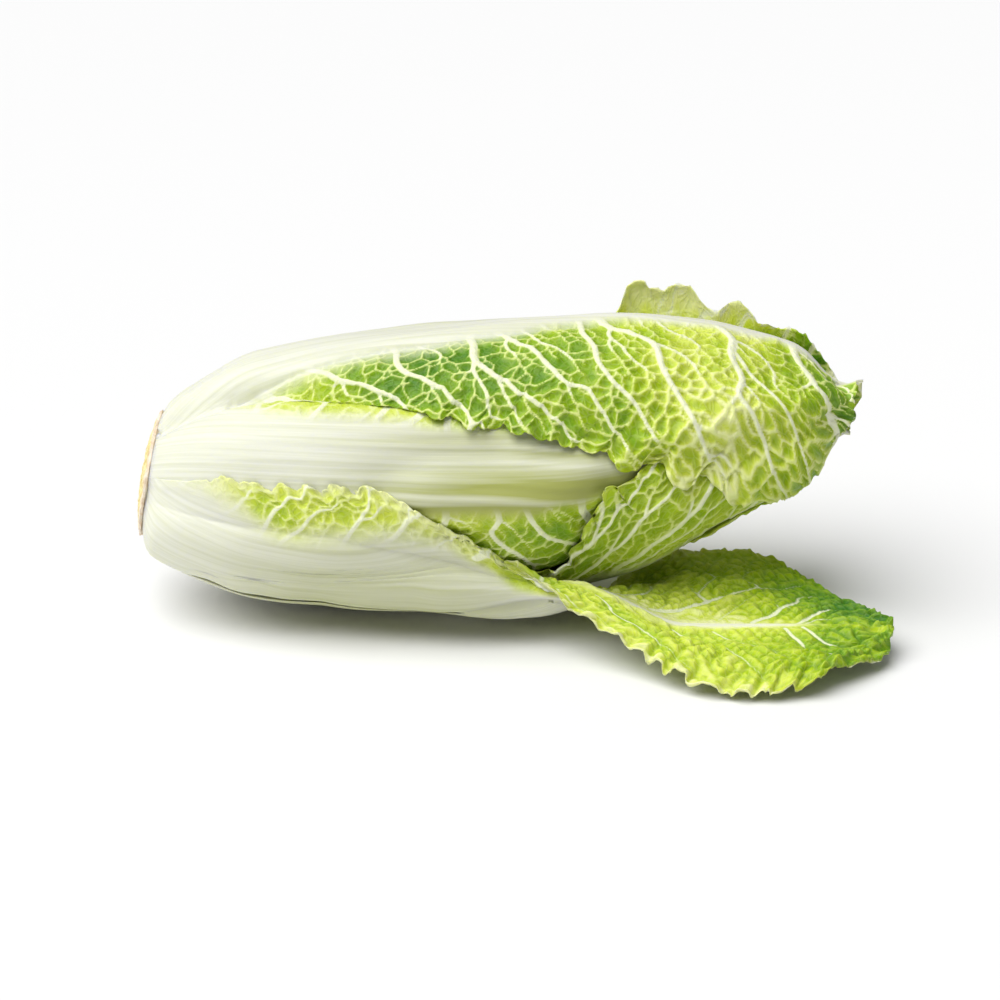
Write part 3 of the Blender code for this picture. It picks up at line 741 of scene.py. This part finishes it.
def makeOpenLeaf(cover, shown, veins, material):
    seed = openLeaf["seed"]

    def place(a, b, isInner):
        a = a**0.82
        s, point, free = openSheet(a, b, cover, shown)
        step = 0.006
        a0, a1 = np.maximum(a - step, 0), np.minimum(a + step, 1)
        b0, b1 = np.maximum(b - step, -1), np.minimum(b + step, 1)
        ahead = openSheet(a1, b, cover, shown)[1] - openSheet(a0, b, cover, shown)[1]
        sideways = openSheet(a, b1, cover, shown)[1] - openSheet(a, b0, cover, shown)[1]
        out = np.cross(ahead, sideways)
        ahead, sideways, out = (v / np.linalg.norm(v, axis=1, keepdims=True) for v in (ahead, sideways, out))
        half = 1000 * openHalfWidth(s, b)
        p, q = lengthMm * s, b * half
        way = p + 0.6 * np.abs(q) + np.where(b > 0, 500, 0)
        edge = np.minimum((1 - np.abs(b)) * half, lengthMm * (1 - a) * 0.95)
        grown = smoothStep(s, 0.04, 0.14) * np.where(b > 0, 1, free)
        tipEdge = smoothStep(a, 0.92, 1.0)
        amount = np.where(b < 0, openLeaf["frill"][0], openLeaf["frill"][1]) * grown
        amount = amount * (0.55 + 0.45 * free)
        thin = 0.6 * np.exp(-(edge / 2.5) ** 2)
        lift, slide, across = ruffle(way, edge, openLeaf["wave"], seed + 8)
        # Its waves fold over less, and are less regular, than those on the head
        slide = 0.3 * slide
        across = across * (0.5 + 0.6 * noise(way / 19.0, 0.5, seed + 20))
        lift = np.where(b > 0, (1 - free) * lift + free * (2 * lift - 0.6), 2 * lift - 0.8)
        outline = (1.5 - 0.9 * free) * edgeOutline(way, seed + 7) * grown
        outline = outline + np.where(b > 0, 9.0 * np.exp(-((s - 0.555) / 0.07) ** 2), 0)
        inPlane = np.sign(b) * (outline * smoothStep(np.abs(b), 0.72, 1.0) + amount * across)
        forward = outline * tipEdge + amount * slide * (1 - tipEdge)
        point = point + 0.001 * (inPlane[:, None] * sideways + forward[:, None] * ahead)
        # Its near half turns green soon, where it comes off the head
        white = whiteHalf(p, openLeaf["white"])
        white = white + (3.0 - white) * np.where(q > 0, smoothStep(p, 108, 176), 0)
        look = leafSurface(openLeaf, veins, p, q, edge, white)
        lift = amount * lift + 1.5 * noise(p / 24, q / 24, seed + 12) * free * smoothStep(np.abs(q), 3, 20)
        thick = 1000 * leafThickness(s, b * math.radians(openNearAngle) * headRadiusMost)
        foot = 0.05 + 0.95 * smoothStep(s, footStart, 0.03)
        thick, thin = thick * foot, thin * foot
        outerLift = lift + thick - thin + foot * np.clip(look["outer"], -0.6, 1.7)
        outerLift = outerLift - 0.6 * look["blister"] * free
        innerLift = lift - look["blister"] * free
        points = point + 0.001 * np.where(isInner, innerLift, outerLift)[:, None] * out
        floor = np.where(isInner, 0.0010, 0.0002)
        points[:, 2] = np.maximum(points[:, 2], floor)
        flat = np.stack([p, q], axis=1) / 1000
        bladeSide = isInner & (free > 0.2)
        slim = 0.13 * whiteHalf(p, 1.0) * (1 - 0.5 * smoothStep(s, 0.6, 0.95))
        slimRib = (1 - smoothStep(np.abs(q), slim, 1.5 * slim + 1.0)) * (1 - smoothStep(s, 0.84, 0.94))
        rib = np.where(bladeSide, slimRib, look["rib"])
        veinGap = np.where(bladeSide, noVein, look["near"])
        # Side veins show more on the far half, and not at the tip
        farSide = smoothStep(b, 0.1, -0.1)
        mainGap = np.where(bladeSide, look["main"] + 0.65 - 0.35 * farSide + 3.0 * smoothStep(s, 0.93, 1.0),
                           look["main"] + 0.10)
        green = look["green"] + 0.18 * smoothStep(b, 0.3, -0.3) * smoothStep(s, 0.85, 0.97)
        # Painted shade and light: the blade side is darker green in the grooves along its veins and paler on
        # the blisters between them
        creviceShade = np.exp(-np.maximum(look["near"], 0) / 0.8)
        green = green + np.where(bladeSide, 0.40 * creviceShade - 0.12, 0)
        green = green - 0.22 * np.exp(-edge / 9.0) * (1 - smoothStep(s, 0.86, 0.96))
        # Painted shade: its stalk is made olive along its lower flank, while it lies on the head
        shade = look["shade"] + 0.55 * (1 - smoothStep(b, 0.0, 0.8)) * smoothStep(p, 10, 80) * (1 - free)
        values = dict(rib=rib, veinGap=veinGap, mainGap=mainGap, green=np.clip(green, 0, 1), shade=shade)
        return points, flat, values

    obj = leafShell(openLeaf["name"], openLeaf["grid"], place)
    finishPiece(obj, material, "outer_leaf", openLeaf["node"])
    return obj


# Half the open leaf's width at s, in metres: on the head by its angle, then by its blade
def openHalfWidth(s, b):
    onHead = np.radians(np.where(b > 0, openNearReach(s), openFarAngle)) * headRadius(s)
    blade = np.where(b > 0, openBladeNear, openBladeFar)
    return onHead + (blade - onHead) * smoothStep(s, 0.40, 0.75)


# Heart and stem

def makeHeart(heart, material):
    low, high = (coreLength + layerGap) / headLength, 0.985
    bm = bmesh.new()
    bmesh.ops.create_uvsphere(bm, u_segments=96, v_segments=90, radius=1.0)
    mesh = meshFrom(bm, "heartLeaves")
    co = readPoints(mesh)
    height = np.clip(co[:, 2], -1, 1)
    degrees = np.degrees(np.arctan2(co[:, 1], co[:, 0]))
    s = low + (high - low) * (height + 1) / 2
    blunt = np.maximum(1 - height**2, 0) ** 0.22
    ridge = 0.5 + 0.5 * np.cos(np.radians(5 * degrees + 160 * s))
    crumple = noise(degrees / 12, s * 40, 5) * smoothStep(s, 0.3, 0.7)
    radius = (sample(heart, s, degrees) - 0.0012 * ridge * blunt + 0.0005 * crumple) * blunt
    writePoints(mesh, headPoint(s, degrees, np.maximum(radius, 0)))
    writeFlat(mesh, np.stack([s * headLength, np.radians(degrees) * 0.03], axis=1))
    addAttribute(mesh, "rib", 1 - smoothStep(s, 0.2, 0.5))
    addAttribute(mesh, "veinGap", np.full(len(s), noVein))
    addAttribute(mesh, "mainGap", 6.0 * ridge)
    # Painted shade: the grooves between the heart's folds are made olive
    addAttribute(mesh, "shade", 0.4 * ridge)
    addAttribute(mesh, "green", 0.25 + 0.6 * smoothStep(s, 0.8, 0.98))
    mesh.shade_smooth()
    finishPiece(addObject("heartLeaves", mesh), material, "heart", "heart")


def makeStem(material):
    collar = [(-0.75, 0.0), (-0.70, 0.30), (-0.48, 0.60), (-0.15, 0.84),
              (0.0, 0.96), (0.25, 0.96), (0.6, 0.86), (1.0, 0.80)]
    profile = [(x * collarLength, r * baseRadius) for x, r in collar]
    for share in (0.0, 0.5, 1.0):
        x = collarLength + share * (coreLength - collarLength)
        profile.append((x, float(coreRadius(x / headLength)) - layerGap / 2))
    profile.append((coreLength, 0.0))
    bm = bmesh.new()
    line = []
    for (x0, r0), (x1, r1) in zip(profile, profile[1:]):
        for t in np.linspace(0, 1, 8, endpoint=False):
            line.append(bm.verts.new((x0 + (x1 - x0) * t, 0.0, r0 + (r1 - r0) * t)))
    line.append(bm.verts.new((profile[-1][0], 0.0, 0.0)))
    edges = [bm.edges.new(pair) for pair in zip(line, line[1:])]
    bmesh.ops.spin(bm, geom=line + edges, cent=(0, 0, 0), axis=(1, 0, 0), angle=2 * math.pi, steps=120,
                   use_merge=True)
    bmesh.ops.remove_doubles(bm, verts=bm.verts, dist=1e-6)
    bmesh.ops.recalc_face_normals(bm, faces=bm.faces)
    mesh = meshFrom(bm, "cutStem")
    co = readPoints(mesh)
    radius = np.hypot(co[:, 1], co[:, 2])
    angle = np.arctan2(co[:, 2], -co[:, 1])
    outer = smoothStep(radius, 0.012, 0.026)
    wear = 0.001 * np.sin(3 * angle + 0.5) * np.cos(5 * angle) + 0.0006 * noise(angle * 9, co[:, 0] * 900, 3)
    x = co[:, 0] + np.where(co[:, 0] < 0.001, 0.0005, 0.0) * noise(co[:, 1] * 500, co[:, 2] * 500, 4)
    writePoints(mesh, headPoint(x / headLength, np.degrees(angle), radius + wear * outer))
    addAttribute(mesh, "rim", smoothStep(radius, 0.020, 0.026))
    mesh.shade_smooth()
    finishPiece(addObject("cutStem", mesh), material, "cut_stem", "stem")


# Materials

def colour(code):
    parts = [int(code[k:k + 2], 16) / 255 for k in (1, 3, 5)]
    linear = [c / 12.92 if c <= 0.04045 else ((c + 0.055) / 1.055) ** 2.4 for c in parts]
    return (*linear, 1.0)


def newMaterial(name):
    material = bpy.data.materials.new(name)
    material.use_nodes = True
    tree = material.node_tree
    return material, tree, tree.nodes["Principled BSDF"]


# Stops are those of a colour ramp: its place and hex colour
def addNode(tree, kind, settings, inputs, stops=()):
    node = tree.nodes.new(kind)
    for key, value in settings.items():
        setattr(node, key, value)
    for key, value in inputs.items():
        if isinstance(value, bpy.types.NodeSocket):
            tree.links.new(value, node.inputs[key])
        else:
            node.inputs[key].default_value = value
    for k, (place, code) in enumerate(stops):
        element = node.color_ramp.elements[k] if k < 2 else node.color_ramp.elements.new(place)
        element.position, element.color = place, colour(code)
    return node


# napaLeaf: waxy leaf tissue. White stalks with olive streaks and painted olive shade in their grooves and
# lower sides, and white veins over a green that runs from pale yellow at the rib to dark at the tip, crossed
# by a fine net of the last veins
leafLook = dict(
    greens=((0.0, "#E6E9AA"), (0.25, "#C8D64A"), (0.5, "#9FBA14"), (0.72, "#769E14"), (1.0, "#38731A")),
    # groove is the olive of the stalk's streaks and of the painted shade in its grooves and lower sides
    white="#E1E2D3", groove="#A1A65C", vein="#DCE598", sideVein="#E7EBC8",
    netWidth=0.0028, netWhite=0.24, roughness=0.42, specular=0.22, bump=0.40,
    subsurface=0.40, subsurfaceRadius=(1.0, 1.0, 0.30), subsurfaceScale=0.0025)


def leafMaterial():
    material, tree, shader = newMaterial("napaLeaf")
    rib, veinGap, mainGap, green, shade = (
        addNode(tree, "ShaderNodeAttribute", dict(attribute_name=name), {}).outputs["Fac"]
        for name in ("rib", "veinGap", "mainGap", "green", "shade"))
    uv = addNode(tree, "ShaderNodeUVMap", dict(uv_map="flatLeaf"), {}).outputs["UV"]
    colourMix = dict(data_type="RGBA")
    timesPlus = dict(operation="MULTIPLY_ADD")
    lineEdge = dict(interpolation_type="SMOOTHSTEP")
    # Blade: patches of darker and lighter green, 9 mm wide
    patches = addNode(tree, "ShaderNodeTexNoise", {},
                      {"Vector": uv, "Scale": 1 / 0.009, "Detail": 4.0, "Roughness": 0.65}).outputs["Fac"]
    paler = addNode(tree, "ShaderNodeMath", dict(operation="SUBTRACT"), {0: green, 1: 0.20}).outputs[0]
    tone = addNode(tree, "ShaderNodeMath", dict(timesPlus, use_clamp=True),
                   {0: patches, 1: 0.40, 2: paler}).outputs[0]
    greens = addNode(tree, "ShaderNodeValToRGB", {}, {"Fac": tone}, leafLook["greens"]).outputs["Color"]
    # The last veins: a net with cells of about 3 mm, its lines drawn 0.6 mm wide to show
    net = addNode(tree, "ShaderNodeTexVoronoi", dict(feature="DISTANCE_TO_EDGE"),
                  {"Vector": uv, "Scale": 1 / leafLook["netWidth"], "Randomness": 1.0}).outputs["Distance"]
    netLine = addNode(tree, "ShaderNodeMapRange", lineEdge,
                      {"Value": net, "From Min": 0.03, "From Max": 0.17,
                       "To Min": 1.0, "To Max": 0.0}).outputs[0]
    fade = addNode(tree, "ShaderNodeMath", timesPlus,
                   {0: tone, 1: -leafLook["netWhite"], 2: 1.1 * leafLook["netWhite"]}).outputs[0]
    netAmount = addNode(tree, "ShaderNodeMath", dict(operation="MULTIPLY"),
                        {0: netLine, 1: fade}).outputs[0]
    blade = addNode(tree, "ShaderNodeMix", colourMix,
                    {0: netAmount, 6: greens, 7: colour(leafLook["vein"])}).outputs[2]
    # Stalk: long olive streaks 2 mm wide, and the painted shade of the shade attribute, olive in its grooves
    # and lower sides
    stretched = addNode(tree, "ShaderNodeMapping", {}, {"Vector": uv, "Scale": (7.0, 480.0, 1.0)}).outputs[0]
    streaks = addNode(tree, "ShaderNodeTexNoise", {},
                      {"Vector": stretched, "Scale": 1.0, "Detail": 4.0, "Roughness": 0.6}).outputs["Fac"]
    streaked = addNode(tree, "ShaderNodeMapRange", {},
                       {"Value": streaks, "From Min": 0.42, "From Max": 0.75, "To Max": 0.30}).outputs[0]
    streaksAndShade = addNode(tree, "ShaderNodeMath", dict(operation="ADD", use_clamp=True),
                    {0: streaked, 1: shade}).outputs[0]
    stalk = addNode(tree, "ShaderNodeMix", colourMix,
                    {0: streaksAndShade, 6: colour(leafLook["white"]), 7: colour(leafLook["groove"])}).outputs[2]
    smallVein = addNode(tree, "ShaderNodeMapRange", lineEdge,
                        {"Value": veinGap, "From Min": -0.10, "From Max": 0.42,
                         "To Min": 0.80, "To Max": 0.0})
    withSmall = addNode(tree, "ShaderNodeMix", colourMix,
                        {0: smallVein.outputs[0], 6: blade, 7: colour(leafLook["vein"])}).outputs[2]
    sideVein = addNode(tree, "ShaderNodeMapRange", lineEdge,
                       {"Value": mainGap, "From Min": -0.30, "From Max": 0.45, "To Min": 1.0, "To Max": 0.0})
    withVeins = addNode(tree, "ShaderNodeMix", colourMix,
                        {0: sideVein.outputs[0], 6: withSmall, 7: colour(leafLook["sideVein"])}).outputs[2]
    skin = addNode(tree, "ShaderNodeMix", colourMix, {0: rib, 6: withVeins, 7: stalk}).outputs[2]
    tree.links.new(skin, shader.inputs["Base Color"])
    # Relief of the last veins, of the streaks and of the skin's cells, 0.8 mm wide to show
    grain = addNode(tree, "ShaderNodeTexNoise", {},
                    {"Vector": uv, "Scale": 1 / 0.0008, "Detail": 2.0}).outputs["Fac"]
    bladeHeight = addNode(tree, "ShaderNodeMath", timesPlus, {0: grain, 1: 0.45, 2: netLine}).outputs[0]
    stalkHeight = addNode(tree, "ShaderNodeMath", timesPlus, {0: grain, 1: 0.15, 2: streaks}).outputs[0]
    height = addNode(tree, "ShaderNodeMix", dict(data_type="FLOAT"),
                     {0: rib, 2: bladeHeight, 3: stalkHeight}).outputs[0]
    bump = addNode(tree, "ShaderNodeBump", {},
                   {"Height": height, "Strength": leafLook["bump"], "Distance": 0.0004})
    tree.links.new(bump.outputs["Normal"], shader.inputs["Normal"])
    shader.inputs["Roughness"].default_value = leafLook["roughness"]
    shader.inputs["Specular IOR Level"].default_value = leafLook["specular"]
    shader.inputs["Subsurface Weight"].default_value = leafLook["subsurface"]
    shader.inputs["Subsurface Radius"].default_value = leafLook["subsurfaceRadius"]
    shader.inputs["Subsurface Scale"].default_value = leafLook["subsurfaceScale"]
    return material


# cutStem: dry fibrous cut face, cream in the middle with a papery brown rim
stemLook = dict(
    cream=((0.32, "#B48A3E"), (0.42, "#DCC67A"), (0.55, "#EEE2A6"), (0.75, "#F5EECC")),
    papery=((0.3, "#D8BA95"), (0.6, "#F0E4D2")), fibreWidth=0.003, roughness=0.8, bump=0.6)


def stemMaterial():
    material, tree, shader = newMaterial("cutStem")
    place = addNode(tree, "ShaderNodeTexCoord", {}, {}).outputs["Object"]
    rim = addNode(tree, "ShaderNodeAttribute", dict(attribute_name="rim"), {}).outputs["Fac"]
    fibre = addNode(tree, "ShaderNodeTexNoise", {},
                    {"Vector": place, "Scale": 1 / stemLook["fibreWidth"],
                     "Detail": 6.0, "Roughness": 0.7}).outputs["Fac"]
    cream = addNode(tree, "ShaderNodeValToRGB", {}, {"Fac": fibre}, stemLook["cream"]).outputs["Color"]
    papery = addNode(tree, "ShaderNodeValToRGB", {}, {"Fac": fibre}, stemLook["papery"]).outputs["Color"]
    face = addNode(tree, "ShaderNodeMix", dict(data_type="RGBA"), {0: rim, 6: cream, 7: papery}).outputs[2]
    tree.links.new(face, shader.inputs["Base Color"])
    bump = addNode(tree, "ShaderNodeBump", {},
                   {"Height": fibre, "Strength": stemLook["bump"], "Distance": 0.0006})
    tree.links.new(bump.outputs["Normal"], shader.inputs["Normal"])
    shader.inputs["Roughness"].default_value = stemLook["roughness"]
    return material


# Floor, light and camera

tableLook = dict(half=20.0, grey=0.84, roughness=0.6)


# whiteTable: a matt white studio table that takes the soft shadow
def makeStage():
    bm = bmesh.new()
    bmesh.ops.create_grid(bm, x_segments=1, y_segments=1, size=tableLook["half"])
    mesh = meshFrom(bm, "paleTable")
    floor = addObject("paleTable", mesh)
    material, _, shader = newMaterial("whiteTable")
    shader.inputs["Base Color"].default_value = (*[tableLook["grey"]] * 3, 1)
    shader.inputs["Roughness"].default_value = tableLook["roughness"]
    mesh.materials.append(material)


lightLook = dict(world=0.24, sun=3.62, sunSpread=60, sunFrom=(-0.40, -0.25, 0.88))


def makeLights():
    world = bpy.data.worlds.new("whiteStudio")
    world.use_nodes = True
    world.node_tree.nodes["Background"].inputs["Color"].default_value = (1.0, 1.0, 1.0, 1.0)
    world.node_tree.nodes["Background"].inputs["Strength"].default_value = lightLook["world"]
    bpy.context.scene.world = world
    light = bpy.data.lights.new("ceilingSoftbox", "SUN")
    light.energy = lightLook["sun"]
    light.angle = math.radians(lightLook["sunSpread"])
    obj = addObject("ceilingSoftbox", light)
    obj.rotation_euler = Vector(lightLook["sunFrom"]).to_track_quat("Z", "Y").to_euler()


cameraElevation = math.radians(20)
cameraDistance = 1.15
viewWidth = 0.420                      # width of the view at the head
viewCentre = (-0.0037, 0.0196, 0.0466)
sensorWidth = 36.0                     # in mm


def makeCamera():
    data = bpy.data.cameras.new("photoCamera")
    data.sensor_width = sensorWidth
    data.lens = sensorWidth * cameraDistance / viewWidth
    camera = addObject("photoCamera", data)
    camera.location = (viewCentre[0], viewCentre[1] - cameraDistance * math.cos(cameraElevation),
                       viewCentre[2] + cameraDistance * math.sin(cameraElevation))
    camera.rotation_euler = (math.pi / 2 - cameraElevation, 0.0, 0.0)
    bpy.context.scene.camera = camera
    bpy.context.scene.view_settings.view_transform = "Standard"


def main():
    makeCamera()
    makeLights()
    makeStage()
    heart = fitHeart()
    inner, top = layLeaves(heart)
    shown = heart
    stageDone("layers")
    napaLeaf = leafMaterial()
    makeHeart(heart, napaLeaf)
    makeStem(stemMaterial())
    innerVeins = drawVeins(*growVeins(innerSeed, innerLook["white"], outerNet, 1000 * leafHalfWidth))
    for leaf in wrappedLeaves:
        veins = innerVeins
        if not leaf["name"].startswith("inner"):
            bladeHalf = 1000 * leaf["width"] * leafHalfWidth
            veins = drawVeins(*growVeins(leaf["seed"], leaf["white"], outerNet, bladeHalf))
        field = inner[leaf["name"]]
        # The top leaf bridges the steps between the leaves that it lies on
        if leaf["name"] == "leafTop":
            field = np.maximum(smoothed(field, topSmoothing), shown + topClearance)
        wrappedLeaf(leaf, field, shown, top, veins, napaLeaf)
        shown = showLeaf(leaf, field, shown)
        stageDone(leaf["name"])
    veins = drawVeins(*growVeins(openLeaf["seed"], openLeaf["white"], openNet, openBladeHalf))
    makeOpenLeaf(laidOver(top), shown, veins, napaLeaf)
    stageDone("leafOpen")
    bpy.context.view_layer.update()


main()
